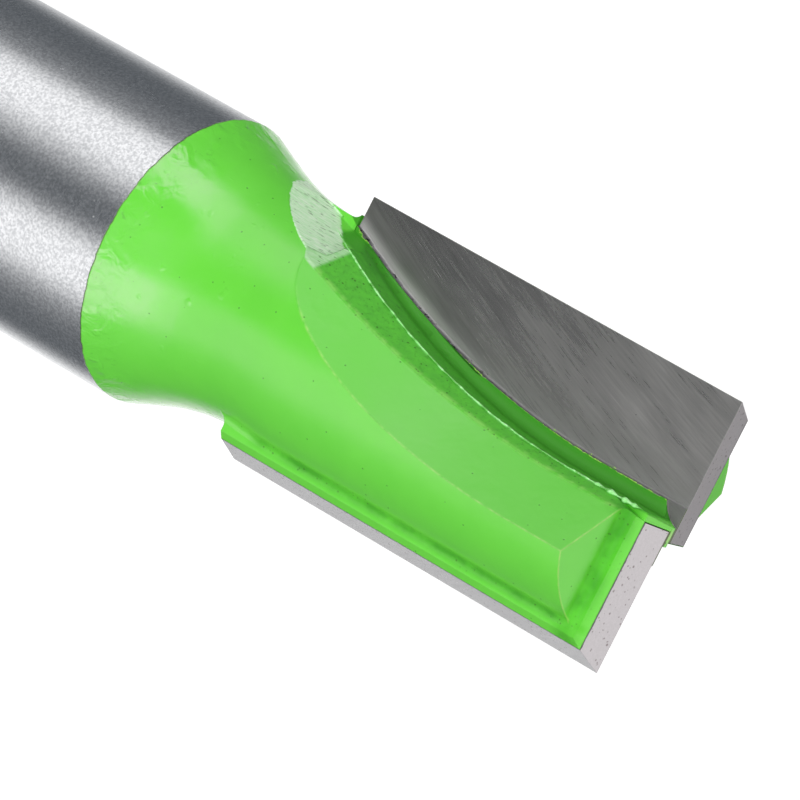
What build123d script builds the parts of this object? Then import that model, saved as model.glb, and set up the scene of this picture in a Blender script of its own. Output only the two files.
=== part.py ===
"""Two-flute straight router bit: a one-piece steel body with two brazed carbide tips.

Frame: the origin is the centre of the shank's end face, +Z runs up the bit to its cutting end,
and the cutting edges lie near the XZ plane. Tip A is on the +X side, and its rake face looks
towards +Y. Land B and tip B are the same shapes turned half a turn about Z. Millimetres.
"""

import os
from math import atan2, cos, degrees, radians, sin, sqrt, tan

from build123d import *

# Turned blank
shank_d = 12.7  # half-inch collet size
shank_len = 38.0  # bare shank, from its end face to the paint edge
shank_chamfer = 0.8
shoulder_band = 0.05  # full diameter that carries on past the paint edge
shoulder_round = 0.5  # radius where the full diameter turns into the cone
shoulder_angle = 21.0  # cone below the shoulder, from the axis
cone_end_d = 11.2  # where the cone turns into the waist's curve
waist_d = 9.8
waist_at = 6.0  # from the paint edge
core_d = 10.15  # turned diameter of the cutting portion
core_at = 9.0  # from the paint edge

# Carbide tips
cut_d = 12.0
tip_root = 6.4  # from the paint edge to the shank end of the tips
tip_len = 19.45
tip_thick = 1.7
tip_overlap = 0.2  # how far each tip reaches past the axis
web = 0.2  # steel between the front faces of the two tips
rake_grind = 0.15  # ground off each front face to make the rake face
side_relief = 20.0
end_relief = 10.0
braze_gap = 0.04  # braze behind the curved back edge and the root end of a tip

# Gullet, left by a disc cutter that runs out in an arc
gullet_wall = 0.6  # wall's distance from the axis at the cutting end
gullet_r = 31.1
straight_len = 4.1  # straight stretch of the cut at the cutting end
gullet_floor_round = 0.45

# Flared band ground above the gullet's wall, by a wheel that runs out in the same way
flare_angle = 61.0  # of its normal, from +Y towards +X
flare_r = 34.2
ridge_height = 1.9  # where the band meets the wall

# Facet ground along the crest of the land, in the same way
facet_angle = 42.0
facet_r = 36.0
facet_dist = 2.05  # from the axis

# Hollow that blends the end of the gullet into the neck, ground across the bit by a small wheel
hollow_turn = 14.0  # of the side that the wheel comes from, from +X towards +Y
hollow_r = 20.0
hollow_dist = 3.64  # from the axis, at the wheel's centre height
hollow_at = 11.28  # centre height of the wheel, from the paint edge
hollow_end = 7.85  # from the paint edge, where the hollow ends in the flared band

# Rake face ground into the tip, by a wheel that runs out in the same way
rake_wall = 1.24
rake_r = 36.2
rake_round = 0.12
rake_high = 0.4  # how far above the gullet's floor the wheel still cuts

# Steel that backs the tips
backing = 0.3  # thickness behind a tip, up to the milled ledge
inner_round = 0.4  # where the backing meets the neck, the core and the block
block_setback = 1.05  # from the cutting end to the foot of the block's end face
block_slope = 8.0
backing_bevel = 45.0  # slope of the backing's end, down from the tip's edge
heel_slope = 78.0  # slope of the steel beside a tip's inner end, down from it

# Gash that clears the middle of the end cutting edge
gash_r = 1.5
gash_x = 1.85  # centre, from the axis
gash_past = 0.45  # centre, past the cutting end
gash_step = 0.07  # how far its floor stands above the rake face

shank_r = shank_d / 2
core_r = core_d / 2
z_paint = shank_len
z_root = z_paint + tip_root
z_tip = z_root + tip_len
z_straight = z_tip - straight_len
z_block = z_tip - block_setback
y_front = web / 2
y_rake = y_front + rake_grind
y_back = y_front + tip_thick
y_ledge = y_back + backing
reach = shank_d  # longer than any cut across the bit has to be
wheel_side = 1.0  # how far the wheels of the flats reach past the normal through the axis
close = 0.01  # two places nearer than this count as one

# The cutting corner sits on the cutting circle, and the relief falls away behind it.
edge_x = sqrt((cut_d / 2) ** 2 - y_rake**2)
edge_turn = degrees(atan2(y_rake, edge_x))
relief_slope = tan(radians(side_relief + edge_turn))
back_x = edge_x - (y_back - y_rake) * relief_slope

# Distance of the flared band from the axis, for it to meet the wall at the ridge
wall_part = gullet_wall * sin(radians(flare_angle))
flare_dist = wall_part + ridge_height * cos(radians(flare_angle))


def lift(z):
    """Plane across the bit at height z."""
    return Plane.XY.offset(z)


def wheel_cut(profile, wheel):
    """Sweep a cutter's profile past the cutting end, and down along the arc of its run-out."""
    extrude(profile, amount=straight_len + reach)
    revolve(profile, axis=wheel, revolution_arc=50)


# Blank: shank, shoulder, cone, waist and core turned in one setting
cone_slope = tan(radians(shoulder_angle))
z_cone = z_paint + shoulder_band
z_cone_end = z_cone + (shank_d - cone_end_d) / 2 / cone_slope
with BuildPart() as blank:
    with BuildSketch(Plane.XZ) as blank_profile:
        with BuildLine() as blank_outline:
            Polyline(
                (0, 0),
                (shank_r - shank_chamfer, 0),
                (shank_r, shank_chamfer),
                (shank_r, z_cone),
                (cone_end_d / 2, z_cone_end),
            )
            Spline(
                (cone_end_d / 2, z_cone_end),
                (waist_d / 2, z_paint + waist_at),
                (core_r, z_paint + core_at),
                tangents=[(-cone_slope, 1), (0, 1)],
            )
            Polyline((core_r, z_paint + core_at), (core_r, z_tip), (0, z_tip), (0, 0))
        make_face()
        shoulder = blank_profile.vertices().sort_by_distance((shank_r, 0, z_cone))[0]
        fillet(shoulder, shoulder_round)
    revolve(axis=Axis.Z)

# Wing that backs tip A
with BuildPart() as wing:
    with BuildSketch(lift(z_root)):
        with BuildLine():
            Polyline(
                (0, -y_front),
                (back_x, -y_front),
                (back_x, -y_back),
                (back_x - backing, -y_ledge),
                (0, -y_ledge),
                close=True,
            )
        make_face()
    extrude(amount=tip_len)

# Cutter that bevels the end of tip A's backing, and leaves the ledge and the block's end face
relief_drop = tan(radians(end_relief))
z_heel = z_tip - (y_back - y_rake) * relief_drop
block_drop = (reach - y_ledge) * tan(radians(block_slope))
with BuildPart() as ledge_cutter:
    with BuildSketch(Plane.YZ):
        with BuildLine():
            Polyline(
                (-y_back, z_tip + reach),
                (-y_back, z_heel),
                (-y_ledge, z_heel - backing * tan(radians(backing_bevel))),
                (-y_ledge, z_block),
                (-reach, z_block - block_drop),
                (-reach, z_tip + reach),
                close=True,
            )
        make_face()
    extrude(amount=reach, both=True)

# Cutter for the end relief of both lands and both tips
with BuildPart() as end_cutter:
    with BuildSketch(Plane.YZ):
        with BuildLine():
            Polyline(
                (0, z_tip + y_rake * relief_drop),
                (reach, z_tip - (reach - y_rake) * relief_drop),
                (reach, z_tip + reach),
                (-reach, z_tip + reach),
                (-reach, z_tip - (reach - y_rake) * relief_drop),
                close=True,
            )
        make_face()
    extrude(amount=reach, both=True)

# Cutter for the gullet in front of tip A
with BuildPart() as gullet_cutter:
    with BuildSketch(lift(z_straight)) as gullet_profile:
        with Locations((gullet_wall, -y_front)):
            Rectangle(reach, reach, align=Align.MIN)
        floor_corner = gullet_profile.vertices().sort_by_distance((0, -y_front, z_straight))[0]
        fillet(floor_corner, gullet_floor_round)
    wheel_cut(gullet_profile.sketch, Axis((gullet_wall + gullet_r, 0, z_straight), (0, -1, 0)))


def ground_flat(angle, distance, wheel_r):
    """Cutter for a flat along land B, with its normal turned from +Y towards +X by the angle."""
    outward = Vector(0, 1, 0).rotate(Axis.Z, -angle)
    across = Vector(1, 0, 0).rotate(Axis.Z, -angle)
    start = outward * distance + Vector(0, 0, z_straight)
    with BuildPart() as cutter:
        with BuildSketch(Plane(origin=start, x_dir=across, z_dir=(0, 0, 1))) as profile:
            with Locations((wheel_side, 0)):
                Rectangle(reach, reach, align=(Align.MAX, Align.MIN))
        wheel_cut(profile.sketch, Axis(start + outward * wheel_r, across))
    return cutter.part


# Cutter for the hollow that blends the gullet's end into the neck
hollow_side = Vector(1, 0, 0).rotate(Axis.Z, hollow_turn)
hollow_centre = hollow_side * (hollow_dist + hollow_r) + Vector(0, 0, z_paint + hollow_at)
across_hollow = hollow_side.rotate(Axis.Z, 90)
with BuildPart() as hollow_cutter:
    with BuildSketch(Plane(origin=hollow_centre, x_dir=hollow_side, z_dir=across_hollow)):
        Circle(hollow_r)
    extrude(amount=reach, both=True)
    with BuildSketch(lift(z_paint)):
        with Locations((0, -y_front)):
            Rectangle(reach, reach, align=Align.MIN)
    extrude(amount=hollow_end, mode=Mode.INTERSECT)

# Cutter for the steel beside tip A's inner end: it slopes down from the tip's end face
x_heel = -tip_overlap - braze_gap
heel_side = sin(radians(heel_slope))
heel_up = cos(radians(heel_slope))
heel_normal = Vector(-heel_side, -heel_up * relief_drop, heel_up)
with BuildPart() as heel_cutter:
    with BuildSketch(lift(z_block - block_setback)):
        with Locations((x_heel, -y_front)):
            Rectangle(reach, reach, align=Align.MAX)
    extrude(amount=reach)
    split(bisect_by=Plane(Vector(x_heel, -y_rake, z_tip), z_dir=heel_normal))

# Cutter for the gash at the tip's inner corner
gash_floor = -y_rake + gash_step
with BuildPart() as gash_cutter:
    with BuildSketch(Plane.XZ.offset(-gash_floor)):
        with Locations((gash_x, z_tip + gash_past)):
            Circle(gash_r)
    extrude(amount=-reach)

# Cutter for the rake face of tip A
with BuildPart() as rake_cutter:
    with BuildSketch(lift(z_straight)) as rake_profile:
        with Locations((rake_wall, -y_rake)):
            Rectangle(reach, rake_high + y_rake, align=Align.MIN)
        wheel_corner = rake_profile.vertices().sort_by_distance((0, -y_rake, z_straight))[0]
        fillet(wheel_corner, rake_round)
    wheel_cut(rake_profile.sketch, Axis((rake_wall + rake_r, 0, z_straight), (0, -1, 0)))
    split(bisect_by=lift(z_root), keep=Keep.TOP)

# Outline that tip A and its seat share: straight inner end, back edge curved like the gullet
back_r = gullet_r + gullet_wall + tip_overlap


def back_edge_x(z):
    """Curved back edge of tip A at height z."""
    return back_r - tip_overlap - sqrt(back_r**2 - (z_straight - z) ** 2)


def tip_outline(clearance):
    """Outline of tip A, or of its seat, which stands clear of the back edge and the root end."""
    z_low = z_root - clearance
    z_mid = (z_straight + z_low) / 2
    with BuildSketch(Plane.XZ.offset(y_front)) as outline:
        with BuildLine():
            Polyline(
                (back_edge_x(z_low) - clearance, z_low),
                (reach, z_low),
                (reach, z_tip + reach),
                (-tip_overlap - clearance, z_tip + reach),
                (-tip_overlap - clearance, z_straight),
            )
            ThreePointArc(
                (-tip_overlap - clearance, z_straight),
                (back_edge_x(z_mid) - clearance, z_mid),
                (back_edge_x(z_low) - clearance, z_low),
            )
        make_face()
    return outline.sketch


with BuildPart() as seat_cutter:
    extrude(tip_outline(braze_gap), amount=tip_thick)


def is_inner_corner(edge):
    """True where the backing meets the core, the neck or the block, on the side of the ledge."""
    spot = edge.center()
    on_ledge = abs(abs(spot.Y) - y_ledge) < close and abs(spot.X) < back_x - backing - close
    at_root = abs(spot.Z - z_root) < close and edge.geom_type != GeomType.LINE
    return at_root or (on_ledge and z_root + close < spot.Z < z_block + close)


# Steel body in one piece
with BuildPart() as bit_body:
    add(blank.part)
    with PolarLocations(0, 2):
        add(wing.part)
    with PolarLocations(0, 2):
        add(ledge_cutter.part, mode=Mode.SUBTRACT)
    fillet(bit_body.edges().filter_by(is_inner_corner), inner_round)
    with PolarLocations(0, 2):
        add(gullet_cutter.part, mode=Mode.SUBTRACT)
        add(seat_cutter.part, mode=Mode.SUBTRACT)
        add(rake_cutter.part, mode=Mode.SUBTRACT)
        add(ground_flat(flare_angle, flare_dist, flare_r), mode=Mode.SUBTRACT)
        add(ground_flat(facet_angle, facet_dist, facet_r), mode=Mode.SUBTRACT)
        add(hollow_cutter.part, mode=Mode.SUBTRACT)
        add(gash_cutter.part, mode=Mode.SUBTRACT)
    add(end_cutter.part, mode=Mode.SUBTRACT)
    with PolarLocations(0, 2):
        add(heel_cutter.part, mode=Mode.SUBTRACT)

# Carbide tip on the +X side: its outer face leans back from the cutting edge
with BuildPart() as cutting_tip_a:
    extrude(tip_outline(0), amount=tip_thick)
    with BuildSketch(lift(z_root)):
        with BuildLine():
            Polyline(
                (-reach, -y_front),
                (edge_x + (y_rake - y_front) * relief_slope, -y_front),
                (back_x, -y_back),
                (-reach, -y_back),
                close=True,
            )
        make_face()
    extrude(amount=tip_len, mode=Mode.INTERSECT)
    add(rake_cutter.part, mode=Mode.SUBTRACT)
    add(gash_cutter.part, mode=Mode.SUBTRACT)
    add(end_cutter.part, mode=Mode.SUBTRACT)

with BuildPart() as cutting_tip_b:
    add(cutting_tip_a.part, rotation=(0, 0, 180))

bit_body.part.label = "bit_body"
cutting_tip_a.part.label = "cutting_tip_a"
cutting_tip_b.part.label = "cutting_tip_b"

os.makedirs("parts", exist_ok=True)
export_step(bit_body.part, "parts/bit_body.step")
export_step(cutting_tip_a.part, "parts/cutting_tip_a.step")
export_step(cutting_tip_b.part, "parts/cutting_tip_b.step")
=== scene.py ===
"""Looks of the straight router bit: painted body, ground steel shank and carbide tips."""

import math
from types import SimpleNamespace

import bpy
from mathutils import Matrix, Vector


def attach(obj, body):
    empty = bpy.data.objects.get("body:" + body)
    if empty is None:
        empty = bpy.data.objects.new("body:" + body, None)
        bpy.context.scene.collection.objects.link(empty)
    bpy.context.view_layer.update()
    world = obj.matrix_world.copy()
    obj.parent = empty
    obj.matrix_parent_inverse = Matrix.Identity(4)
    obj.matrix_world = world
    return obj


MM = 0.001

# Shape of the bit, in millimetres, from the shank's end face
PAINT_EDGE = 38.0
Z_STRAIGHT = 59.75  # above it the gullet's cuts run straight
GULLET_START = PAINT_EDGE + 6.2  # the neck's paint ends and the gullet's starts

# Gullet's wall, flared band, crest facet and rake face: offset at the cutting end, wheel radius
WALL_X, WALL_R = 0.6, 31.1
FLARE_AT, FLARE_R = 1.446, 34.2
FACET_AT, FACET_R = 2.05, 36.0
RAKE_X, RAKE_R = 1.24, 36.2
FLOOR_ROUND = 0.5  # height at which the rounding of the gullet's floor ends
SIN_FLARE, COS_FLARE = math.sin(math.radians(61)), math.cos(math.radians(61))
SIN_FACET, COS_FACET = math.sin(math.radians(42)), math.cos(math.radians(42))

# Hollow that blends the gullet into the neck: turn, offset, wheel radius, centre height and end
HOLLOW_TURN, HOLLOW_X, HOLLOW_R = math.radians(14.0), 3.64, 20.0
HOLLOW_Z, HOLLOW_END = PAINT_EDGE + 11.28, PAINT_EDGE + 7.85

# Rim of the hollow's painted highlight: height at the foot, start of its curve, its two slopes
RIM_Z, RIM_Y, RIM_SLOPE, RIM_CURVE = PAINT_EDGE + 3.25, 0.6, 0.25, 0.28
RIGHT_RIM_Z, RIGHT_RIM_SLOPE = PAINT_EDGE + 5.6, 0.9

STRIP_Y = 0.1  # half the steel left between the fronts of the two tips
SIDE_BIAS = 0.25  # as near to the XZ plane as this, a point belongs to the side its x says

# Gash at a tip's inner corner, and the centre of the grinding marks on its rake face
GASH_X, GASH_Z, GASH_R = 1.85, 64.3, 1.5
MARKS_X, MARKS_Z = 115.0, 97.0

# Steel behind the tips: height of the block's foot and slope of its end, corner of the ledge
FOOT_Z, BLOCK_SLOPE, CORE_R = 62.8, math.tan(math.radians(8)), 5.075
LEDGE_X, LEDGE_Y = 4.62, 2.1

# Heel of the steel beside a tip's inner end: where it starts, and where its slope is filled up
HEEL_X, HEEL_Z, HEEL_BACK, TOP_Z = 0.245, 61.9, 1.80, 63.83
RELIEF_START, END_RELIEF = 0.25, math.tan(math.radians(10))

# Lumps of paint on the ridge: height, size and length
BLOBS = (
    (61.0, 0.05, 0.2),
    (61.7, 0.08, 0.18),
    (62.4, 0.09, 0.15),
    (62.9, 0.07, 0.15),
    (63.3, 0.08, 0.2),
)

# Gloss of the paint: pale reflections on the open faces, hardly any in the gullet and corners
PAINT_GLOSS = {"Specular IOR Level": 0.75, "Specular Tint": (1.0, 0.15, 1.0, 1.0)}
DULL = {"Specular IOR Level": 0.12, "Specular Tint": (1.0, 0.8, 1.0, 1.0)}
DULL_ROUGHNESS = 0.5

# Paint on the open faces
GREEN_THIN, GREEN_THICK = (0.122, 0.650, 0.037), (0.146, 0.700, 0.046)
GREEN_FINE = (0.15, 0.71, 0.06)
# Painted shade: a darker green on the crest's facet
FACET_SHADE_GREEN = (0.118, 0.585, 0.045)

# Painted shade: darker greens on the flared band, the gullet's wall, the root of the tips, the
# steel's corners and the strip beside the wall
FLARE_SHADE_GREEN, WALL_SHADE_GREEN = (0.078, 0.38, 0.040), (0.050, 0.35, 0.019)
ROOT_SHADE_GREEN, CORNER_SHADE_GREEN = (0.045, 0.31, 0.018), (0.030, 0.26, 0.010)
STRIP_SHADE_GREEN = (0.038, 0.255, 0.014)

# Painted highlights: pale greens along the ridge, the crest, the block's rims, the facet's rim
# and on the ridge's bead, which BEAD_GAP breaks; paler green on the web and along the paint's lip
# on the tips
SEAM_HIGHLIGHT_GREEN, CREST_HIGHLIGHT_GREEN = (0.34, 0.86, 0.26), (0.30, 0.70, 0.14)
BLOCK_RIM_HIGHLIGHT_GREEN, FACET_RIM_HIGHLIGHT_GREEN = (0.40, 0.74, 0.14), (0.38, 0.74, 0.16)
WEB_GREEN, LIP_GREEN = (0.42, 0.70, 0.20), (0.45, 0.74, 0.12)
BEAD_HIGHLIGHT_LOW, BEAD_HIGHLIGHT_HIGH, BEAD_GAP = (0.20, 0.74, 0.15), (0.44, 0.90, 0.38), (0.08, 0.43, 0.03)

# Dirt in the paint, patchy darker green in the gullet, and the painted shadow of the paint's edge
# at the shank
GULLET_DARK, PIT, CRUMB = (0.045, 0.22, 0.02), (0.03, 0.20, 0.01), (0.03, 0.10, 0.01)
SMUDGE, PAINT_EDGE_SHADOW = (0.05, 0.25, 0.02), (0.10, 0.17, 0.03)

# Painted highlight in the hollow, with gouges, and its dimmed spill onto the flared band
HOLLOW_HIGHLIGHT_LOW, HOLLOW_HIGHLIGHT_HIGH = (0.46, 0.86, 0.42), (0.80, 1.0, 0.75)
GOUGE, HIGHLIGHT_SPILL_TINT = (0.16, 0.36, 0.13), (0.62, 0.70, 0.60)

# Bare steel
STEEL_LOW, STEEL_HIGH = (0.465, 0.472, 0.486), (0.665, 0.670, 0.683)
STEEL_TURNED, STEEL_DUST = (0.42, 0.43, 0.44), (0.20, 0.20, 0.21)
STEEL_BRIGHT = (0.95, 0.95, 0.95)

# Carbide
RAKE_LOW, RAKE_HIGH, RAKE_LINE = (0.22, 0.21, 0.20), (0.60, 0.577, 0.55), (0.75, 0.74, 0.72)
SIDE_LOW, SIDE_HIGH = (0.46, 0.45, 0.455), (0.58, 0.565, 0.57)
END_LOW, END_HIGH = (0.55, 0.52, 0.53), (0.61, 0.575, 0.59)
FLAT_TOP, BRAZE, SPOT = (0.13, 0.16, 0.09), (0.06, 0.06, 0.05), (0.18, 0.14, 0.14)
CARBIDE_PIT, GASH_GREY = (0.05, 0.05, 0.05), (0.11, 0.11, 0.11)
WHEEL_EDGE, CHIP = (0.14, 0.14, 0.14), (0.02, 0.02, 0.02)
# Painted highlight on the rake's wheel corner: frosted pale grey
HIGHLIGHT_FROST_LOW, HIGHLIGHT_FROST_HIGH = (0.26, 0.25, 0.255), (0.44, 0.42, 0.43)
# Painted shade on the rake face beside the gullet's wall
WALL_SHADE_LOW, WALL_SHADE_HIGH = (0.055, 0.054, 0.052), (0.17, 0.167, 0.163)

# Light that the bit reflects from below and from around it: azimuth in degrees and level
BELOW = (
    (-180, 0.03),
    (-154, 0.0),
    (-112, 1.0),
    (-90, 1.0),
    (-40, 0.0),
    (-20, 0.0),
    (8, 0.08),
    (26, 1.06),
    (40, 1.06),
    (80, 0.0),
    (94, 0.0),
    (118, 1.06),
    (134, 1.04),
    (164, 0.14),
    (180, 0.03),
)
AROUND = (
    (-180, 0.02),
    (-128, 0.0),
    (-110, 0.8),
    (-82, 0.8),
    (-58, 0.0),
    (12, 0.0),
    (24, 0.62),
    (38, 0.62),
    (54, 0.0),
    (102, 0.0),
    (118, 0.72),
    (136, 0.72),
    (158, 0.06),
    (180, 0.02),
)

# Studio
WHITE = (1, 1, 1, 1)
WORLD_FILL, FLOOR_GLOW, FLOOR_GREY = 0.56, 0.56, (0.6, 0.6, 0.6, 1)
CARD_DARK, BACK_CARD_GREY = (0.155, 0.17, 0.185), (0.27, 0.27, 0.275, 1)
CARD_LIGHT, BORDER_LIGHT, CURTAIN_LIGHT = (1.5, 1.5, 1.5), (2.6, 2.6, 2.6), (6.5, 6.5, 6.5)
LAMP_DISTANCE, LAMP_WIDTH, LAMP_HEIGHT, LAMP_AIM = 0.9, 0.6, 0.5, (0, 0, 0.045)

# Camera: its axes, its place in millimetres and its lens
CAMERA_RIGHT = (0.450728, -0.502363, 0.737886)
CAMERA_UP = (0.888503, 0.172785, -0.425096)
CAMERA_BACK = (0.086057, 0.847217, 0.524231)
CAMERA_SPOT = (24.587, 247.893, 203.384)
CAMERA_LENS, CAMERA_SENSOR = 329.81, 36.0

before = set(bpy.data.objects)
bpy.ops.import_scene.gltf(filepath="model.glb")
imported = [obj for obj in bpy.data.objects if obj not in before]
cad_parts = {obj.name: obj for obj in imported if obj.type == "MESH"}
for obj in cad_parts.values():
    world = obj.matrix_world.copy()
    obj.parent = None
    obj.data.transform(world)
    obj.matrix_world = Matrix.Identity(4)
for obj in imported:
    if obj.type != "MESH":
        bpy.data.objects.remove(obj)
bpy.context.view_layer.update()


# ----------------------------------------------------------------- node helpers
class Graph:
    """Short way to write a material's nodes."""

    def __init__(self, name):
        self.material = bpy.data.materials.new(name)
        self.material.use_nodes = True
        self.tree = self.material.node_tree
        self.tree.nodes.clear()
        self.out = self.tree.nodes.new("ShaderNodeOutputMaterial")

    def node(self, kind, **settings):
        made = self.tree.nodes.new(kind)
        for key, value in settings.items():
            setattr(made, key, value)
        return made

    def plug(self, socket, value):
        if isinstance(value, bpy.types.NodeSocket):
            self.tree.links.new(value, socket)
        elif value is not None:
            socket.default_value = value

    def math(self, operation, a, b=None, c=None, clamp=False):
        made = self.node("ShaderNodeMath", operation=operation, use_clamp=clamp)
        for socket, value in zip(made.inputs, (a, b, c)):
            self.plug(socket, value)
        return made.outputs[0]

    def add(self, a, b):
        return self.math("ADD", a, b)

    def sub(self, a, b):
        return self.math("SUBTRACT", a, b)

    def mul(self, a, b):
        return self.math("MULTIPLY", a, b)

    def step(self, value, low, high):
        """0 below low, 1 above high, smooth between them."""
        made = self.node("ShaderNodeMapRange", interpolation_type="SMOOTHSTEP")
        for socket, v in zip(made.inputs, (value, low, high, 0.0, 1.0)):
            self.plug(socket, v)
        return made.outputs[0]

    def fade(self, value, low, high):
        """1 below low, 0 above high, smooth between them."""
        return self.sub(1.0, self.step(value, low, high))

    def size(self, value):
        return self.math("ABSOLUTE", value)

    def most(self, first, *others):
        """Largest of the values."""
        for other in others:
            first = self.math("MAXIMUM", first, other)
        return first

    def all_of(self, first, *others):
        """Product of masks."""
        for other in others:
            first = self.mul(first, other)
        return first

    def spread(self, noise, to_low, to_high):
        """Usual span of a noise, brought to another span."""
        return self.remap(noise, 0.3, 0.7, to_low, to_high)

    def remap(self, value, low, high, to_low, to_high):
        made = self.node("ShaderNodeMapRange")
        for socket, v in zip(made.inputs, (value, low, high, to_low, to_high)):
            self.plug(socket, v)
        return made.outputs[0]

    def mix(self, factor, a, b, blend="MIX"):
        made = self.node("ShaderNodeMix", data_type="RGBA", blend_type=blend)
        self.plug(made.inputs[0], factor)
        for socket, value in ((made.inputs[6], a), (made.inputs[7], b)):
            self.plug(socket, value if isinstance(value, bpy.types.NodeSocket) else (*value, 1))
        return made.outputs[2]

    def combine(self, x, y, z):
        made = self.node("ShaderNodeCombineXYZ")
        for socket, value in zip(made.inputs, (x, y, z)):
            self.plug(socket, value)
        return made.outputs[0]

    def noise(self, vector, scale, detail=3.0, roughness=0.55, distortion=0.0):
        made = self.node("ShaderNodeTexNoise")
        self.plug(made.inputs["Vector"], vector)
        for key, value in (
            ("Scale", scale),
            ("Detail", detail),
            ("Roughness", roughness),
            ("Distortion", distortion),
        ):
            made.inputs[key].default_value = value
        return made.outputs[0]

    def voronoi(self, vector, scale, randomness=1.0):
        made = self.node("ShaderNodeTexVoronoi")
        self.plug(made.inputs["Vector"], vector)
        made.inputs["Scale"].default_value = scale
        made.inputs["Randomness"].default_value = randomness
        return made.outputs["Distance"], made.outputs["Color"]

    def position(self):
        """Place on the bit in millimetres: the vector, then x, y and z."""
        coordinates = self.node("ShaderNodeTexCoord").outputs["Object"]
        scaled = self.node("ShaderNodeVectorMath", operation="SCALE")
        self.plug(scaled.inputs[0], coordinates)
        scaled.inputs["Scale"].default_value = 1 / MM
        parts = self.node("ShaderNodeSeparateXYZ")
        self.plug(parts.inputs[0], scaled.outputs[0])
        return scaled.outputs[0], *parts.outputs[:3]

    def bump(self, height, strength, distance, normal=None):
        made = self.node("ShaderNodeBump")
        made.inputs["Strength"].default_value = strength
        made.inputs["Distance"].default_value = distance * MM
        self.plug(made.inputs["Height"], height)
        if normal is not None:
            self.plug(made.inputs["Normal"], normal)
        return made.outputs[0]

    def blend_shaders(self, factor, first, second):
        made = self.node("ShaderNodeMixShader")
        self.plug(made.inputs[0], factor)
        self.plug(made.inputs[1], first.outputs[0])
        self.plug(made.inputs[2], second.outputs[0])
        return made

    def surface(self, color, roughness, metallic, normal=None, **constants):
        made = self.node("ShaderNodeBsdfPrincipled")
        self.plug(made.inputs["Base Color"], color)
        self.plug(made.inputs["Roughness"], roughness)
        self.plug(made.inputs["Metallic"], metallic)
        if normal is not None:
            self.plug(made.inputs["Normal"], normal)
        for key, value in constants.items():
            made.inputs[key].default_value = value
        return made


def run_out(g, z, radius):
    """Depth in millimetres that a wheel's run-out has lifted by, at height z."""
    below = g.math("MAXIMUM", g.sub(Z_STRAIGHT, z), 0.0)
    inside = g.sub(radius**2, g.mul(below, below))
    return g.sub(radius, g.math("SQRT", g.math("MAXIMUM", inside, 0.0)))


# -------------------------------------------------------------------- materials
def own_side(g, x, y, bias):
    """x and y as the land they belong to sees them: the other land is turned half a turn."""
    lean = g.math("MULTIPLY", g.math("SIGN", x), bias)
    side = g.math("SIGN", g.add(y, lean))
    return g.mul(x, side), g.mul(y, side)


def gullet_marks(g, x, y, z):
    """Distances from the gullet's wall, the flared band and the crest's facet."""
    wall = g.sub(x, g.add(run_out(g, z, WALL_R), WALL_X))
    flare = g.sub(
        g.add(g.mul(x, SIN_FLARE), g.mul(y, COS_FLARE)), g.add(run_out(g, z, FLARE_R), FLARE_AT)
    )
    facet = g.sub(
        g.add(g.mul(x, SIN_FACET), g.mul(y, COS_FACET)), g.add(run_out(g, z, FACET_R), FACET_AT)
    )
    return wall, flare, facet


def near_both(g, a, b, width):
    """1 on the edge where two surfaces meet, 0 a width away from it."""
    distance = g.math("SQRT", g.add(g.mul(a, a), g.mul(b, b)))
    return g.fade(distance, 0.0, width)


def specks(g, place, scale, size, share):
    """Small round spots at random places: 1 inside them."""
    distance, colour = g.voronoi(place, scale)
    pick = g.node("ShaderNodeSeparateColor")
    g.plug(pick.inputs[0], colour)
    chosen = g.step(pick.outputs[0], 1 - share, 1 - share + 0.02)
    return g.mul(chosen, g.fade(distance, size * 0.5, size))


def hairs(g, place, scale, width, share):
    """Hairlines: thin lines along the contours of a noise, broken into short pieces."""
    contour = g.size(g.sub(g.noise(place, scale, detail=1.0), 0.5))
    pieces = g.step(g.noise(place, scale * 1.7, detail=2.0), 1 - share, 1.04 - share)
    return g.mul(g.fade(contour, 0.0, width), pieces)


def layered(g, color, layers):
    """Lay colours over one another, each through its own mask."""
    for mask, tone in layers:
        color = g.mix(mask, color, tone)
    return color


def paint_color(g, place):
    """Green paint with slow changes of thickness."""
    green = g.mix(g.noise(place, 0.55, detail=2.0), GREEN_THIN, GREEN_THICK)
    return g.mix(g.spread(g.noise(place, 6.0, detail=4.0), 0.0, 0.10), green, GREEN_FINE)


def strip_shade_mask(g, wall, side_y):
    """Painted shade at the foot of the gullet's wall and on the strip beside it."""
    return g.all_of(g.fade(side_y, 0.35, 0.75), g.step(wall, -0.05, 0.0), 0.9)


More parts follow.
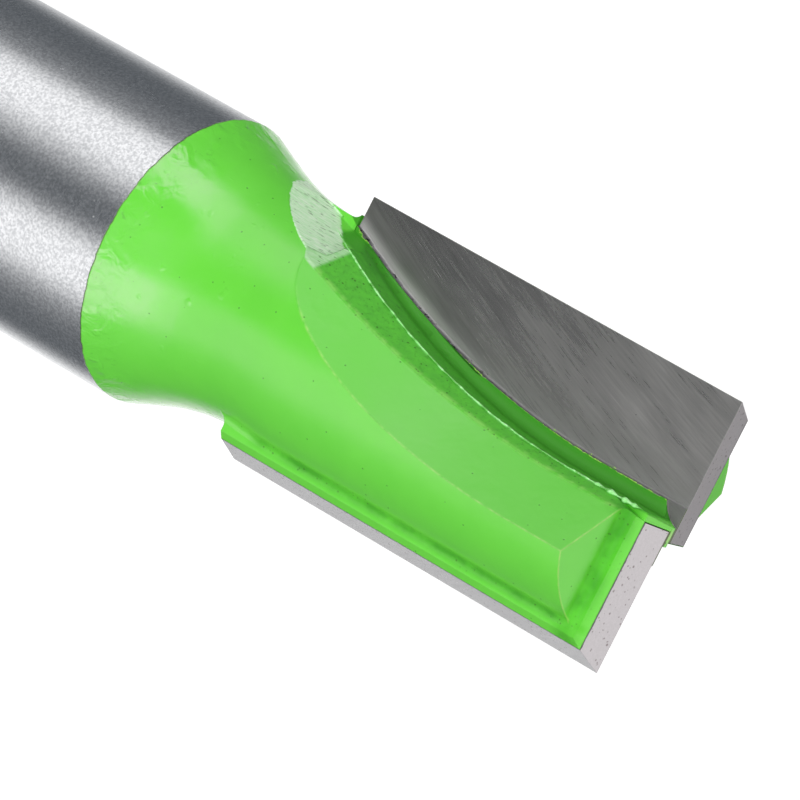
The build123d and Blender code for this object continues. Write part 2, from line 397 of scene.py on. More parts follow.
def scraped_mask(g, on):
    """The hollow above the gullet, painted with a pale highlight."""
    outward = g.add(
        g.mul(on.side_x, math.cos(HOLLOW_TURN)), g.mul(on.side_y, math.sin(HOLLOW_TURN))
    )
    below = g.sub(HOLLOW_Z, on.z)
    arc = g.math("SQRT", g.most(g.sub(HOLLOW_R**2, g.mul(below, below)), 0.0))
    inside = g.sub(outward, g.sub(HOLLOW_X + HOLLOW_R, arc))
    uneven = g.spread(on.worn, -0.08, 0.08)
    # The painted highlight also reaches a little past the hollow's upper rim
    past_rim = g.remap(on.side_y, 0.9, 2.2, -0.27, -0.03)
    on_surface = g.mul(
        g.step(inside, g.sub(past_rim, 0.03), g.add(past_rim, 0.01)), g.fade(inside, 0.05, 0.10)
    )
    over = g.most(g.sub(on.side_y, RIM_Y), 0.0)
    curve = g.add(g.mul(over, RIM_SLOPE), g.mul(g.mul(over, over), RIM_CURVE))
    top_rim = g.sub(g.sub(on.z, RIM_Z), curve)
    right_rim = g.sub(on.side_y, g.mul(g.sub(on.z, RIGHT_RIM_Z), RIGHT_RIM_SLOPE))
    return g.all_of(
        on_surface,
        g.step(g.add(top_rim, uneven), 0.0, 0.1),
        g.fade(g.add(on.z, uneven), HOLLOW_END - 0.10, HOLLOW_END),
        g.step(g.add(right_rim, uneven), -0.10, 0.15),
        g.sub(1.0, on.gullet),
    )


def spill_mask(g, on):
    """Where the hollow's painted highlight runs over onto the flared band."""
    corner = g.sub(on.side_y, g.mul(g.sub(on.z, HOLLOW_END), 1.6))
    return g.all_of(
        on.in_flare,
        g.fade(on.z, HOLLOW_END + 0.15, HOLLOW_END + 0.35),
        g.step(corner, 1.5, 1.7),
    )


def body_zones(g):
    """Masks, 0 to 1, of the places on the body that its paint and its relief follow."""
    on = SimpleNamespace()
    on.place, on.x, on.y, on.z = g.position()
    on.side_x, on.side_y = own_side(g, on.x, on.y, SIDE_BIAS)
    on.wall, on.flare, on.facet = gullet_marks(g, on.side_x, on.side_y, on.z)
    on.worn = g.noise(on.place, 3.0, detail=5.0)
    on.uneven = g.spread(on.worn, 0.0, 1.0)

    # Paint edge round the shank
    ragged = g.noise(on.place, 2.2, detail=4.0, roughness=0.6)
    height = g.add(on.z, g.spread(ragged, -0.04, 0.04))
    on.paint = g.step(height, PAINT_EDGE - 0.02, PAINT_EDGE + 0.02)
    # Thin band at the paint's edge, for the painted shadow of its step
    on.rim = g.mul(on.paint, g.fade(height, PAINT_EDGE + 0.02, PAINT_EDGE + 0.07))
    on.near_rim = g.mul(on.paint, g.fade(on.z, PAINT_EDGE + 0.5, PAINT_EDGE + 2.3))

    # Gullet, facet, and the root of the tips, where the paint carries painted shade
    past_neck = g.step(on.z, GULLET_START, GULLET_START + 0.3)
    on.in_wall = g.all_of(
        g.fade(g.size(on.wall), 0.03, 0.10), g.fade(on.flare, 0.0, 0.10), past_neck
    )
    on.in_flare = g.mul(g.fade(g.size(on.flare), 0.02, 0.06), past_neck)
    on.gullet = g.most(on.in_wall, on.in_flare)
    on.on_facet = g.all_of(
        g.fade(g.size(on.facet), 0.02, 0.06), past_neck, g.sub(1.0, on.in_flare)
    )
    on.root = g.all_of(
        past_neck,
        g.fade(on.z, PAINT_EDGE + 8.6, PAINT_EDGE + 9.4),
        g.fade(on.side_y, 1.0, 1.3),
        g.step(on.side_x, 0.5, 0.8),
    )
    on.pool = strip_shade_mask(g, on.wall, on.side_y)

    # Corners behind the tips, darkened as painted shade: along the ledge and at the foot of the
    # block's end
    from_ledge = g.sub(g.size(on.y), LEDGE_Y)
    foot = near_both(g, from_ledge, g.sub(on.z, FOOT_Z), 1.0)
    groove = g.all_of(
        near_both(g, g.sub(g.size(on.x), LEDGE_X), from_ledge, 0.45),
        g.fade(g.mul(on.x, on.y), -0.5, 0.0),
        g.step(on.z, PAINT_EDGE + 7.5, PAINT_EDGE + 8.5),
    )
    on.corner = g.most(foot, groove)

    # Dirt, and the hollow's painted highlight with its spill
    on.pits = specks(g, on.place, 1.9, 0.095, 0.55)
    coarse, fine = specks(g, on.place, 2.2, 0.17, 0.8), specks(g, on.place, 4.3, 0.24, 0.7)
    on.crumbs = g.all_of(
        g.most(coarse, fine), g.most(on.gullet, on.corner, on.root), g.step(on.worn, 0.44, 0.56)
    )
    on.scraped, on.spill = scraped_mask(g, on), spill_mask(g, on)
    return on


def edge_highlight_layers(g, on):
    """Painted highlights along the edges of the land and the block, and paler green on the web.
    """
    off_axis = g.math("SQRT", g.add(g.mul(on.x, on.x), g.mul(on.y, on.y)))
    off_core = g.sub(off_axis, CORE_R)
    drop = g.mul(g.sub(g.size(on.y), LEDGE_Y), BLOCK_SLOPE)
    end_plane = g.add(g.sub(on.z, FOOT_Z), drop)
    seam = g.all_of(
        near_both(g, on.wall, on.flare, 0.08),
        g.step(on.z, PAINT_EDGE + 6.0, PAINT_EDGE + 7.0),
        g.fade(g.noise(on.place, 1.9, detail=3.0), 0.46, 0.58),
        0.5,
    )
    crest = g.mul(near_both(g, on.flare, on.facet, 0.07), g.remap(on.worn, 0.35, 0.6, 0.0, 0.5))
    block_rims = g.mul(
        g.most(near_both(g, end_plane, off_core, 0.08), near_both(g, end_plane, on.facet, 0.08)),
        g.remap(on.uneven, 0.0, 1.0, 0.15, 0.75),
    )
    facet_rim = g.all_of(
        near_both(g, on.facet, off_core, 0.07),
        g.step(on.z, PAINT_EDGE + 7.5, PAINT_EDGE + 10.0),
        g.remap(on.worn, 0.35, 0.65, 0.0, 0.6),
    )
    web = g.all_of(g.step(on.z, 63.0, 63.2), near_both(g, on.x, on.y, 0.5), 0.7)
    return (
        (seam, SEAM_HIGHLIGHT_GREEN),
        (crest, CREST_HIGHLIGHT_GREEN),
        (block_rims, BLOCK_RIM_HIGHLIGHT_GREEN),
        (facet_rim, FACET_RIM_HIGHLIGHT_GREEN),
        (web, WEB_GREEN),
    )


def painted_color(g, on):
    """Paint, with painted shade in the gullet and the steel's corners and painted highlights
    along the edges.
    """
    # Patchy darker green in the gullet
    gullet_patches = g.step(g.noise(on.place, 5.0, detail=6.0, roughness=0.7), 0.50, 0.72)
    # How much the corners' painted shade darkens them, from place to place
    corner_shade_amount = g.remap(g.noise(on.place, 0.7, detail=3.0), 0.35, 0.65, 0.35, 0.85)
    smudge = g.step(g.noise(on.place, 2.6, detail=5.0, distortion=0.8), 0.62, 0.74)
    layers = (
        # Painted shade: darker green on the flared band
        (g.mul(on.in_flare, g.remap(on.uneven, 0.0, 1.0, 0.55, 0.85)), FLARE_SHADE_GREEN),
        # Painted shade: darker green on the gullet's wall
        (g.mul(on.in_wall, g.remap(on.uneven, 0.0, 1.0, 0.7, 0.95)), WALL_SHADE_GREEN),
        # Painted shade: darker green on the facet
        (g.mul(on.on_facet, 0.8), FACET_SHADE_GREEN),
        # Patchy darker green in the gullet
        (g.all_of(on.gullet, gullet_patches, 0.6), GULLET_DARK),
        # Painted shade: darker green at the root of the tips
        (g.mul(on.root, 0.85), ROOT_SHADE_GREEN),
        # Painted shade: darker green at the foot of the wall and on the strip beside it
        (on.pool, STRIP_SHADE_GREEN),
        # Painted shade: darker green in the corners behind the tips
        (g.mul(on.corner, corner_shade_amount), CORNER_SHADE_GREEN),
        # Painted highlights along the edges, and paler green on the web
        *edge_highlight_layers(g, on),
        (g.mul(on.pits, 0.7), PIT),
        (g.mul(on.crumbs, 0.75), CRUMB),
        (g.all_of(on.near_rim, smudge, 0.35), SMUDGE),
    )
    return layered(g, paint_color(g, on.place), layers)


def scraped_color(g, on, green):
    """Lay the hollow's painted highlight, with scratch strokes and gouges, over the paint.
    Returns the colour and the strokes.
    """
    along = g.add(g.mul(on.z, 0.8), g.mul(on.side_y, -0.6))
    across = g.add(g.mul(on.z, 0.6), g.mul(on.side_y, 0.8))
    fine_place = g.combine(g.mul(along, 1.2), g.mul(across, 7.0), on.side_x)
    strokes = g.noise(fine_place, 1.6, detail=5.0, roughness=0.7)
    gouge_place = g.combine(g.mul(along, 2.4), g.mul(across, 9.0), on.side_x)
    gouges = g.noise(gouge_place, 0.9, detail=2.0)
    pale = g.mix(g.remap(strokes, 0.35, 0.65, 0.0, 1.0), HOLLOW_HIGHLIGHT_LOW, HOLLOW_HIGHLIGHT_HIGH)
    pale = g.mix(g.mul(g.step(gouges, 0.60, 0.68), 0.8), pale, GOUGE)
    dim = g.mix(1.0, pale, HIGHLIGHT_SPILL_TINT, blend="MULTIPLY")
    layers = ((g.mul(on.scraped, 0.97), pale), (g.mul(on.spill, 0.9), dim))
    return layered(g, green, layers), strokes


def steel_color(g, on, grain, turned):
    """Bare steel: satin ground, with some dust and a few hairlines."""
    steel = g.mix(g.remap(grain, 0.36, 0.64, 0.0, 1.0), STEEL_LOW, STEEL_HIGH)
    dust = specks(g, on.place, 3.2, 0.06, 0.20)
    bright = g.most(specks(g, on.place, 2.3, 0.05, 0.10), hairs(g, on.place, 0.9, 0.006, 0.36))
    layers = (
        (g.mul(turned, 0.06), STEEL_TURNED),
        (g.mul(dust, 0.5), STEEL_DUST),
        (g.mul(bright, 0.6), STEEL_BRIGHT),
    )
    return layered(g, steel, layers)


def body_relief(g, on, grain, strokes):
    """Normal: rounded edges, wrinkled paint near its edge, peel, steel's grain, strokes."""
    bevel = g.node("ShaderNodeBevel", samples=4)
    bevel.inputs["Radius"].default_value = 0.05 * MM
    peel = g.mul(g.noise(on.place, 1.1, detail=2.0), on.paint)
    wrinkles = g.noise(on.place, 1.3, detail=2.0, distortion=0.7)
    patches = g.mul(on.near_rim, g.step(g.noise(on.place, 0.5, detail=2.0), 0.38, 0.52))
    lumps = g.step(g.noise(on.place, 1.6, detail=1.0), 0.66, 0.80)
    on_neck = g.mul(on.paint, g.fade(on.z, PAINT_EDGE + 5.5, PAINT_EDGE + 7.0))
    soft = g.add(g.mul(peel, 0.30), g.all_of(wrinkles, patches, 1.5))
    soft = g.add(soft, g.all_of(lumps, on_neck, 0.5))
    soft = g.sub(soft, g.mul(g.most(on.pits, on.crumbs), 0.12))
    normal = g.bump(soft, 0.6, 0.07, bevel.outputs[0])
    steel_grain = g.all_of(g.sub(1.0, on.paint), grain, 0.5)
    normal = g.bump(g.add(steel_grain, g.mul(strokes, on.scraped)), 0.25, 0.012, normal)
    return g.bump(on.paint, 0.6, 0.03, normal)


def body_material():
    """Green paint over satin ground steel."""
    g = Graph("painted_steel")
    on = body_zones(g)
    grain = g.noise(on.place, 8.0, detail=1.0, roughness=0.6)
    rings = g.combine(g.mul(on.x, 0.4), g.mul(on.y, 0.4), g.mul(on.z, 9.0))
    turned = g.noise(rings, 2.0, detail=3.0)
    green, strokes = scraped_color(g, on, painted_color(g, on))
    color = g.mix(on.paint, steel_color(g, on, grain, turned), green)
    # Painted shadow of the paint's step: a dark line round the shank
    color = g.mix(g.mul(on.rim, 0.7), color, PAINT_EDGE_SHADOW)
    normal = body_relief(g, on, grain, strokes)

    gloss = g.spread(g.noise(on.place, 1.6, detail=3.0), 0.15, 0.22)
    gloss = g.add(gloss, g.mul(g.most(on.scraped, on.gullet), 0.25))
    root_facet = g.all_of(on.on_facet, g.fade(on.z, 49.0, 56.0), 0.55)
    deep = g.most(on.gullet, on.corner, on.pool, on.root, root_facet)
    bare = g.surface(color, g.spread(turned, 0.25, 0.275), 1.0, normal)
    coated = g.surface(color, gloss, 0.0, normal, **PAINT_GLOSS)
    dull = g.surface(color, DULL_ROUGHNESS, 0.0, normal, **DULL)
    painted = g.blend_shaders(deep, coated, dull)
    g.plug(g.out.inputs["Surface"], g.blend_shaders(on.paint, bare, painted).outputs[0])
    return g.material


def carbide_zones(g):
    """Places on a tip, as its own side sees them: the front looks towards its rake face."""
    on = SimpleNamespace()
    on.place, x, y, on.z = g.position()
    side = g.math("SIGN", g.mul(y, -1.0))
    on.side_x, on.side_y = g.mul(x, side), g.mul(y, side)
    normals = g.node("ShaderNodeSeparateXYZ")
    g.plug(normals.inputs[0], g.node("ShaderNodeTexCoord").outputs["Normal"])
    on.front = g.step(g.mul(normals.outputs[1], side), 0.6, 0.8)
    on.end_face = g.step(normals.outputs[2], 0.6, 0.8)
    on.flat_top = g.step(normals.outputs[2], 0.990, 0.996)
    on.edge = g.sub(on.side_x, g.add(run_out(g, on.z, RAKE_R), RAKE_X))
    on.worn = g.noise(on.place, 3.0, detail=3.0)
    on.grain = g.noise(on.place, 11.0, detail=3.0, roughness=0.6)

    # Wheel's corner, with a painted highlight strongest towards the root, and the turn of the
    # wheel's edge
    on.pale = g.all_of(
        g.fade(on.edge, 0.15, 0.85),
        g.remap(on.z, 48.0, 55.0, 1.0, 0.35),
        g.step(on.edge, 0.0, 0.10),
        on.front,
    )
    on.turned_in = g.all_of(
        g.fade(on.edge, 0.10, 0.16), g.step(on.edge, -0.05, 0.0), g.sub(1.0, on.end_face)
    )

    # Dark ground corner of the gash
    from_x, from_z = g.sub(on.side_x, GASH_X), g.sub(on.z, GASH_Z)
    gash = g.math("SQRT", g.add(g.mul(from_x, from_x), g.mul(from_z, from_z)))
    on.gash = g.all_of(
        g.fade(gash, GASH_R - 0.02, GASH_R + 0.02),
        g.sub(1.0, on.end_face),
        g.fade(on.edge, -0.01, 0.02),
    )

    # Paint left on the strip that the rake wheel didn't reach, chipped along the wheel's edge
    chips = g.noise(on.place, 3.4, detail=5.0, roughness=0.7)
    wavy = g.add(on.edge, g.spread(chips, -0.10, 0.08))
    on.painted = g.all_of(g.fade(wavy, -0.02, 0.01), on.front, g.sub(1.0, on.gash))
    wheel_lip = g.mul(g.step(wavy, -0.07, -0.04), on.painted)
    gash_lip = g.mul(g.fade(gash, GASH_R + 0.03, GASH_R + 0.08), on.painted)
    on.lip = g.mul(g.most(wheel_lip, gash_lip), g.remap(on.worn, 0.35, 0.6, 0.3, 0.95))
    on.chip = g.all_of(
        g.step(wavy, -0.03, 0.00),
        g.fade(wavy, 0.07, 0.09),
        g.step(g.noise(on.place, 3.6, detail=3.0), 0.54, 0.58),
        g.step(g.noise(on.place, 1.1, detail=1.0), 0.36, 0.44),
        g.fade(on.z, 52.0, 56.0),
    )
    return on


def grinding_marks(g, on):
    """Streaks along arcs round the wheel's centre: medium ones, the shade, and thin lines."""
    away_x, away_z = g.sub(on.side_x, MARKS_X), g.sub(on.z, MARKS_Z)
    radius = g.math("SQRT", g.add(g.mul(away_x, away_x), g.mul(away_z, away_z)))
    arc_place = g.combine(g.mul(radius, 11.0), g.mul(away_z, 0.45), 0.0)
    arcs = g.noise(arc_place, 1.0, detail=5.0, roughness=0.65)
    broad_place = g.combine(g.mul(radius, 1.1), g.mul(away_z, 0.25), 0.0)
    broad = g.noise(broad_place, 1.0, detail=2.0)
    line_place = g.combine(g.mul(radius, 26.0), g.mul(away_z, 0.8), 4.0)
    lines = g.noise(line_place, 1.0, detail=1.0)
    shade = g.add(g.spread(arcs, 0.0, 0.6), g.spread(broad, 0.0, 0.4))
    shade = g.add(g.mul(shade, 0.6), g.remap(on.z, 46.0, 60.0, 0.0, 0.4))
    return arcs, shade, lines


def carbide_color(g, on, shade, lines):
    """Streaked rake face, speckled side and end faces, braze line, gash, chips and paint."""
    rake = g.mix(shade, RAKE_LOW, RAKE_HIGH)
    rake = g.mix(g.mul(g.step(lines, 0.66, 0.74), 0.25), rake, RAKE_LINE)
    speckle = g.spread(on.grain, 0.0, 1.0)
    rest = g.mix(
        on.end_face, g.mix(speckle, SIDE_LOW, SIDE_HIGH), g.mix(speckle, END_LOW, END_HIGH)
    )
    spots = g.mul(specks(g, on.place, 2.6, 0.20, 0.8), g.step(on.worn, 0.40, 0.55))
    fine_spots = g.mul(specks(g, on.place, 5.0, 0.26, 0.6), g.step(on.worn, 0.38, 0.55))
    from_back = g.add(on.side_y, g.spread(on.worn, 1.73, 1.78))
    rest_layers = (
        (g.mul(g.most(spots, fine_spots), 0.7), SPOT),
        (g.mul(g.fade(from_back, 0.0, 0.03), 0.85), BRAZE),
        (on.flat_top, FLAT_TOP),
    )
    rest = layered(g, rest, rest_layers)
    layers = (
        (g.mul(specks(g, on.place, 1.7, 0.05, 0.16), 0.8), CARBIDE_PIT),
        (g.mul(on.gash, 0.95), GASH_GREY),
        (g.mul(on.turned_in, 0.9), WHEEL_EDGE),
        (g.mul(on.chip, 0.95), CHIP),
    )
    grey = layered(g, g.mix(on.front, rest, rake), layers)
    # Paint on the tip's strip, darkened as painted shade
    green = g.mix(strip_shade_mask(g, 1.0, on.side_y), paint_color(g, on.place), STRIP_SHADE_GREEN)
    return g.mix(on.painted, grey, g.mix(on.lip, green, LIP_GREEN))


def carbide_material():
    """Ground tungsten carbide, with paint left on the strip beside the rake face."""
    g = Graph("carbide")
    on = carbide_zones(g)
    arcs, shade, lines = grinding_marks(g, on)
    color = carbide_color(g, on, shade, lines)

    bevel = g.node("ShaderNodeBevel", samples=4)
    bevel.inputs["Radius"].default_value = 0.03 * MM
    relief = g.add(g.mul(arcs, g.mul(on.front, 0.6)), g.mul(on.grain, 0.06))
    relief = g.mul(relief, g.sub(1.0, on.painted))
    normal = g.bump(relief, 0.4, 0.010, bevel.outputs[0])
    normal = g.bump(on.painted, 0.5, 0.03, normal)

    rough = g.add(g.remap(shade, 0.0, 1.0, 0.22, 0.32), g.mul(on.turned_in, 0.25))
    bare = g.surface(color, rough, 1.0, normal)
    # Frosted pale grey, not metal: painted highlight along the wheel's corner
    highlight_frost = g.surface(g.mix(arcs, HIGHLIGHT_FROST_LOW, HIGHLIGHT_FROST_HIGH), DULL_ROUGHNESS, 0.0, normal)
    bare = g.blend_shaders(g.all_of(on.pale, 0.85, g.sub(1.0, on.chip)), bare, highlight_frost)
    # Dark grey, not metal: painted shade on the rake face beside the wall
    wall_shade = g.surface(g.mix(shade, WALL_SHADE_LOW, WALL_SHADE_HIGH), DULL_ROUGHNESS, 0.0, normal)
    shade_beside_wall = g.all_of(
        g.fade(on.edge, 0.3, 2.4), on.front, g.sub(1.0, g.most(on.pale, on.chip)), 0.85
    )
    bare = g.blend_shaders(shade_beside_wall, bare, wall_shade)
    coated = g.surface(color, DULL_ROUGHNESS, 0.0, normal, **DULL)
    g.plug(g.out.inputs["Surface"], g.blend_shaders(on.painted, bare, coated).outputs[0])
    return g.material


def bead_material():
    """Paint gathered on a ridge, broken and lumpy, coloured pale as a painted highlight."""
    g = Graph("ridge_highlight_paint")
    place = g.position()[0]
    lumps = g.noise(place, 5.0, detail=3.0)
    # Pale greens: painted highlight along the ridge
    color = g.mix(g.spread(lumps, 0.0, 1.0), BEAD_HIGHLIGHT_LOW, BEAD_HIGHLIGHT_HIGH)
    broken = g.step(g.noise(place, 1.9, detail=3.0), 0.48, 0.60)
    color = g.mix(g.mul(broken, 0.8), color, BEAD_GAP)
    normal = g.bump(lumps, 0.5, 0.02)
    shader = g.surface(color, g.spread(lumps, 0.16, 0.28), 0.0, normal, **PAINT_GLOSS)
    g.plug(g.out.inputs["Surface"], shader.outputs[0])
    return g.material


# ----------------------------------------------------------------------- pieces
def lifted(z, radius):
    """Depth that a wheel of this radius has lifted by, at height z."""
    below = max(Z_STRAIGHT - z, 0.0)
    return radius - math.sqrt(radius**2 - below**2)


def seam_point(z):
    """Where the gullet's wall meets its flared band, at height z."""
    x = WALL_X + lifted(z, WALL_R)
    y = (FLARE_AT + lifted(z, FLARE_R) - x * SIN_FLARE) / COS_FLARE
    return x, y


def ripple(t, seed):
    """Smooth uneven wave between about -1 and 1."""
    return (
        0.5 * math.sin(2.1 * t + seed)
        + 0.3 * math.sin(5.3 * t + 2.7 * seed)
        + 0.2 * math.sin(11.9 * t + 4.1 * seed)
    )


def add_mesh(name, vertices, faces, smooth=False):
    mesh = bpy.data.meshes.new(name)
    mesh.from_pydata(vertices, [], faces)
    mesh.update()
    for polygon in mesh.polygons:
        polygon.use_smooth = smooth
    made = bpy.data.objects.new(name, mesh)
    bpy.context.scene.collection.objects.link(made)
    return made


def tube_faces(rings, around):
    """Faces of a closed tube, with a cap at each end."""
    faces = []
    for i in range(rings - 1):
        for k in range(around):
            a, b = i * around + k, i * around + (k + 1) % around
            faces.append((a, b, b + around, a + around))
    faces.append(tuple(reversed(range(around))))
    faces.append(tuple(range((rings - 1) * around, rings * around)))
    return faces


def add_seam_bead(name, side, seed, z_high):
    """Uneven bead of paint along the ridge between the gullet's wall and its flared band."""
    rings, around, z_low, rough_from = 520, 8, 44.9, 55.0
    thickness, swelling, sway_x, sway_y, fine_sway = 0.038, 0.018, 0.012, 0.040, 0.015
    start_length, end_length, thinnest, oval = 0.8, 0.5, 0.05, 1.5
    vertices = []
    for i in range(rings):
        z = z_low + (z_high - z_low) * i / (rings - 1)
        x, y = seam_point(z)
        rough = 1.0 if z > rough_from else 0.8
        ends = min(1.0, (z - z_low) / start_length, (z_high - z) / end_length)
        blob = sum(size * math.exp(-(((z - at) / long) ** 2)) for at, size, long in BLOBS)
        radius = thickness + swelling * rough * ripple(2.2 * z, seed) + blob
        radius *= max(ends, thinnest)
        x += sway_x * rough * ripple(1.7 * z, seed + 1)
        y += sway_y * rough * ripple(1.3 * z, seed + 2) + fine_sway * ripple(4.1 * z, seed + 3)
        for k in range(around):
            turn = 2 * math.pi * k / around
            px, py = x + radius * math.cos(turn), y + oval * radius * math.sin(turn)
            vertices.append((side * px * MM, side * py * MM, z * MM))
    return add_mesh(name, vertices, tube_faces(rings, around), smooth=True)


def gash_edge(z):
    """Where the gash of the tip in front reaches to, at height z."""
    above = z - GASH_Z
    return GASH_X - math.sqrt(GASH_R**2 - above**2) if abs(above) < GASH_R else GASH_X


def pool_point(z, turn, radius):
    """Point of the pooled paint's concave face, at an angle round its hollow's centre."""
    wall = WALL_X + lifted(z, WALL_R)
    px = wall + radius + radius * math.cos(turn)
    return px, radius - STRIP_Y + radius * math.sin(turn)


def add_paint_fillet(name, side, z_high):
    """Paint pooled in the corner between the gullet's wall and the strip beside the rake face."""
    rings, around, z_low, lift_off = 240, 14, 51.3, 0.004
    widest, margin, least = 0.60, 0.01, 0.001
    vertices, faces = [], []
    for i in range(rings):
        z = z_low + (z_high - z_low) * i / (rings - 1)
        wall = WALL_X + lifted(z, WALL_R)
        radius = min(widest, RAKE_X + lifted(z, RAKE_R) - wall - margin)
        reach = min(radius - least, gash_edge(z) - margin - wall)
        last = math.pi + math.acos(max(-1.0, min(1.0, 1 - reach / radius)))
        for k in range(around):
            turn = math.pi + (last - math.pi) * k / (around - 1)
            px, py = pool_point(z, turn, radius)
            px -= lift_off * math.cos(turn)
            py -= lift_off * math.sin(turn)
            vertices.append((side * px * MM, side * py * MM, z * MM))
    for i in range(rings - 1):
        for k in range(around - 1):
            a = i * around + k
            faces.append((a, a + 1, a + 1 + around, a + around))
    return add_mesh(name, vertices, faces, smooth=True)


def add_heel_fill(name):
    """Braze and paint that fill the heel of the steel beside the near tip's inner end."""
    stations, arc, floor_r, skin, margin = 16, 8, 0.6, 0.003, 0.005
    vertices = []
    for i in range(stations):
        y = STRIP_Y + (HEEL_BACK - STRIP_Y) * i / (stations - 1)
        rounding = max(0.0, FLOOR_ROUND - y)
        hollow = floor_r - math.sqrt(floor_r**2 - rounding**2)
        face_x = WALL_X + hollow + skin
        top = TOP_Z - max(0.0, y - RELIEF_START) * END_RELIEF
        arc_low = GASH_Z - math.sqrt(GASH_R**2 - (GASH_X - face_x) ** 2)
        low = min(top, arc_low)
        section = [(HEEL_X, HEEL_Z), (HEEL_X, top)]
        for k in range(arc):
            z = top + (low - top) * k / (arc - 1)
            section.append((min(face_x, gash_edge(z) - margin), z))
        section.append((face_x, HEEL_Z))
        vertices += [(px * MM, y * MM, z * MM) for px, z in section]
    return add_mesh(name, vertices, tube_faces(stations, arc + 3))


# ------------------------------------------------------------------------ stage
def white_rays(tree):
    """1 for the rays that see the background: the camera's, reflected and transmitted ones."""
    path = tree.nodes.new("ShaderNodeLightPath")
    either = tree.nodes.new("ShaderNodeMath")
    either.operation = "MAXIMUM"
    tree.links.new(path.outputs["Is Camera Ray"], either.inputs[0])
    tree.links.new(path.outputs["Is Glossy Ray"], either.inputs[1])
    third = tree.nodes.new("ShaderNodeMath")
    third.operation = "MAXIMUM"
    tree.links.new(either.outputs[0], third.inputs[0])
    tree.links.new(path.outputs["Is Transmission Ray"], third.inputs[1])
    return third.outputs[0]


def make_world(fill):
    """White to the camera and in reflections, and a plain soft fill for the rest."""
    world = bpy.data.worlds.new("studio")
    bpy.context.scene.world = world
    world.use_nodes = True
    tree = world.node_tree
    tree.nodes.clear()
    out = tree.nodes.new("ShaderNodeOutputWorld")
    mix = tree.nodes.new("ShaderNodeMixShader")
    tree.links.new(white_rays(tree), mix.inputs[0])
    for socket, strength in ((mix.inputs[1], fill), (mix.inputs[2], 1.0)):
        background = tree.nodes.new("ShaderNodeBackground")
        background.inputs["Color"].default_value = WHITE
        background.inputs["Strength"].default_value = strength
        tree.links.new(background.outputs[0], socket)
    tree.links.new(mix.outputs[0], out.inputs["Surface"])


def add_floor(glow_level):
    """Pale floor: diffuse, so that it keeps shadows, with a glow that brings it up to white."""
    half = 2.0
    corners = [(-half, -half, 0), (half, -half, 0), (half, half, 0), (-half, half, 0)]
    floor = add_mesh("floor", corners, [(0, 1, 2, 3)])
    g = Graph("floor")
    diffuse = g.node("ShaderNodeBsdfDiffuse")
    diffuse.inputs["Color"].default_value = FLOOR_GREY
    glow = g.node("ShaderNodeEmission")
    glow.inputs["Color"].default_value = WHITE
    g.plug(glow.inputs["Strength"], g.mul(white_rays(g.tree), glow_level))
    both = g.node("ShaderNodeAddShader")
    g.plug(both.inputs[0], diffuse.outputs[0])
    g.plug(both.inputs[1], glow.outputs[0])
    g.plug(g.out.inputs["Surface"], both.outputs[0])
    floor.data.materials.append(g.material)


def only_in_reflections(card):
    """Stage card that the bit reflects and nothing else sees."""
    for flag in ("camera", "diffuse", "transmission", "volume_scatter", "shadow"):
        setattr(card, "visible_" + flag, False)


def card_material(name, stops, dark, light):
    """Card whose brightness follows the azimuth round the bit."""
    g = Graph(name)
    around = g.node("ShaderNodeTexGradient", gradient_type="RADIAL")
    g.plug(around.inputs[0], g.node("ShaderNodeTexCoord").outputs["Object"])
    ramp = g.node("ShaderNodeValToRGB")
    ramp.color_ramp.interpolation = "EASE"
    elements = ramp.color_ramp.elements
    for element, (azimuth, level) in ((elements[0], stops[0]), (elements[1], stops[-1])):
        element.position, element.color = azimuth / 360 + 0.5, (level, level, level, 1)
    for azimuth, level in stops[1:-1]:
        elements.new(azimuth / 360 + 0.5).color = (level, level, level, 1)
    g.plug(ramp.inputs[0], around.outputs[1])
    glow = g.node("ShaderNodeEmission")
    g.plug(glow.inputs["Color"], g.mix(ramp.outputs[0], dark, light))
    g.plug(g.out.inputs["Surface"], glow.outputs[0])
    return g.material


def add_surround():
    """Dark card round the foot and a dark curtain round the bit, both with light openings."""
    inner, middle, outer, low, high, parts = 0.0066, 0.17, 0.7, 0.0002, 0.30, 96
    for name, rims, stops, light in (
        ("dark_card", ((inner, low), (middle, low)), BELOW, CARD_LIGHT),
        ("dark_border", ((middle, low), (outer, low)), BELOW, BORDER_LIGHT),
        ("dark_curtain", ((outer, low), (outer, high)), AROUND, CURTAIN_LIGHT),
    ):
        vertices, faces = [], []
        for i in range(parts):
            turn = 2 * math.pi * i / parts
            for radius, height in rims:
                vertices.append((radius * math.cos(turn), radius * math.sin(turn), height))
        for i in range(parts):
            a, b = 2 * i, 2 * ((i + 1) % parts)
            faces.append((a, a + 1, b + 1, b))
        card = add_mesh(name, vertices, faces)
        card.data.materials.append(card_material(name, stops, CARD_DARK, light))
        only_in_reflections(card)


def add_back_card():
    """Grey card low behind the bit, which the near tip's end face reflects."""
    away, half, low, high = -0.5, 0.45, 0.02, 0.26
    vertices = [(-half, away, low), (half, away, low), (half, away, high), (-half, away, high)]
    card = add_mesh("back_card", vertices, [(0, 1, 2, 3)])
    g = Graph("back_card")
    glow = g.node("ShaderNodeEmission")
    glow.inputs["Color"].default_value = BACK_CARD_GREY
    g.plug(g.out.inputs["Surface"], glow.outputs[0])
    card.data.materials.append(g.material)
    only_in_reflections(card)


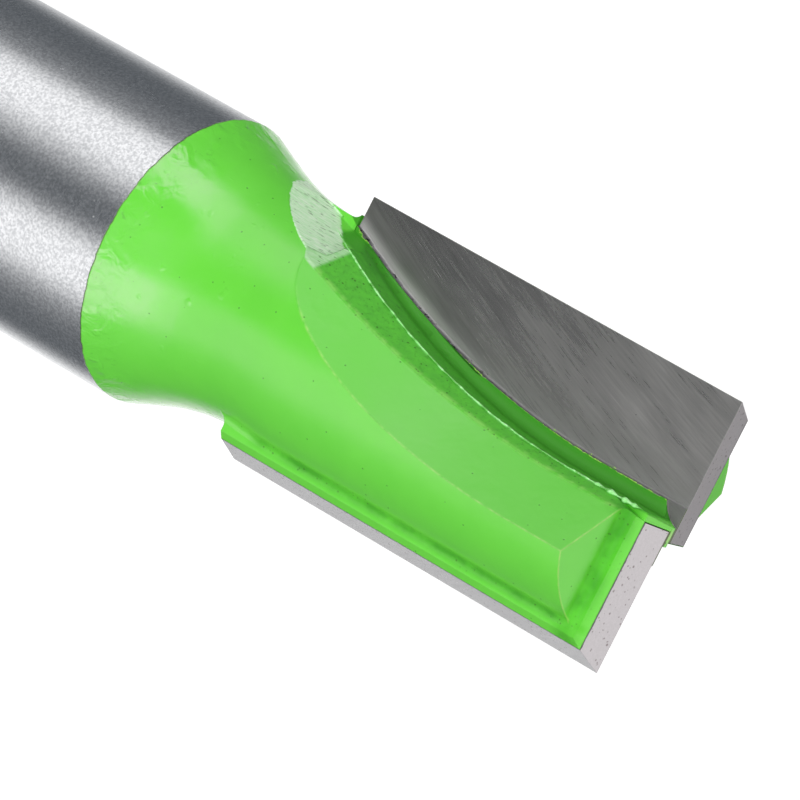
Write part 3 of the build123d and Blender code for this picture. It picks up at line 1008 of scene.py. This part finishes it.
def add_lamp(name, azimuth, elevation, radiance):
    """Soft box of a radiance, in units where 1 is white, turned towards the bit."""
    data = bpy.data.lights.new(name, "AREA")
    data.shape = "RECTANGLE"
    data.size, data.size_y = LAMP_WIDTH, LAMP_HEIGHT
    data.energy = radiance * math.pi * LAMP_WIDTH * LAMP_HEIGHT
    lamp = bpy.data.objects.new(name, data)
    lamp.visible_glossy = False
    bpy.context.scene.collection.objects.link(lamp)
    az, el = math.radians(azimuth), math.radians(elevation)
    away = Vector((math.cos(az) * math.cos(el), math.sin(az) * math.cos(el), math.sin(el)))
    place = Matrix.Translation(Vector(LAMP_AIM) + away * LAMP_DISTANCE)
    lamp.matrix_world = place @ away.to_track_quat("Z", "Y").to_matrix().to_4x4()


def add_camera():
    """Camera fitted to the photo."""
    data = bpy.data.cameras.new("camera")
    data.sensor_width = CAMERA_SENSOR
    data.lens = CAMERA_LENS
    data.clip_start = 0.01
    data.clip_end = 20.0
    camera = bpy.data.objects.new("camera", data)
    bpy.context.scene.collection.objects.link(camera)
    axes = Matrix((CAMERA_RIGHT, CAMERA_UP, CAMERA_BACK)).transposed().to_4x4()
    camera.matrix_world = Matrix.Translation(Vector(CAMERA_SPOT) * MM) @ axes
    bpy.context.scene.camera = camera


add_camera()
make_world(WORLD_FILL)
add_floor(FLOOR_GLOW)
add_surround()
add_back_card()
add_lamp("front", 90, 12, 5.6)
add_lamp("top", 60, 75, 2.1)

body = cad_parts["bit_body"]
body.data.materials.clear()
body_paint = body_material()
body.data.materials.append(body_paint)
tip_material = carbide_material()
for name in ("cutting_tip_a", "cutting_tip_b"):
    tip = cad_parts[name]
    tip.data.materials.clear()
    tip.data.materials.append(tip_material)
ridge_highlight_paint = bead_material()
# Side 1 is the near one. Each bead and fillet ends at its last number, a height in millimetres
coats = (
    (add_seam_bead("seam_bead_b", 1, 0.4, 63.3), ridge_highlight_paint),
    (add_seam_bead("seam_bead_a", -1, 2.9, 61.6), ridge_highlight_paint),
    (add_paint_fillet("paint_fillet_b", 1, 63.75), body_paint),
    (add_paint_fillet("paint_fillet_a", -1, 61.8), body_paint),
    (add_heel_fill("heel_fill_b"), body_paint),
)
for coat, material in coats:
    coat.data.materials.append(material)
    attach(coat, "root")

bpy.context.scene.view_settings.view_transform = "Standard"
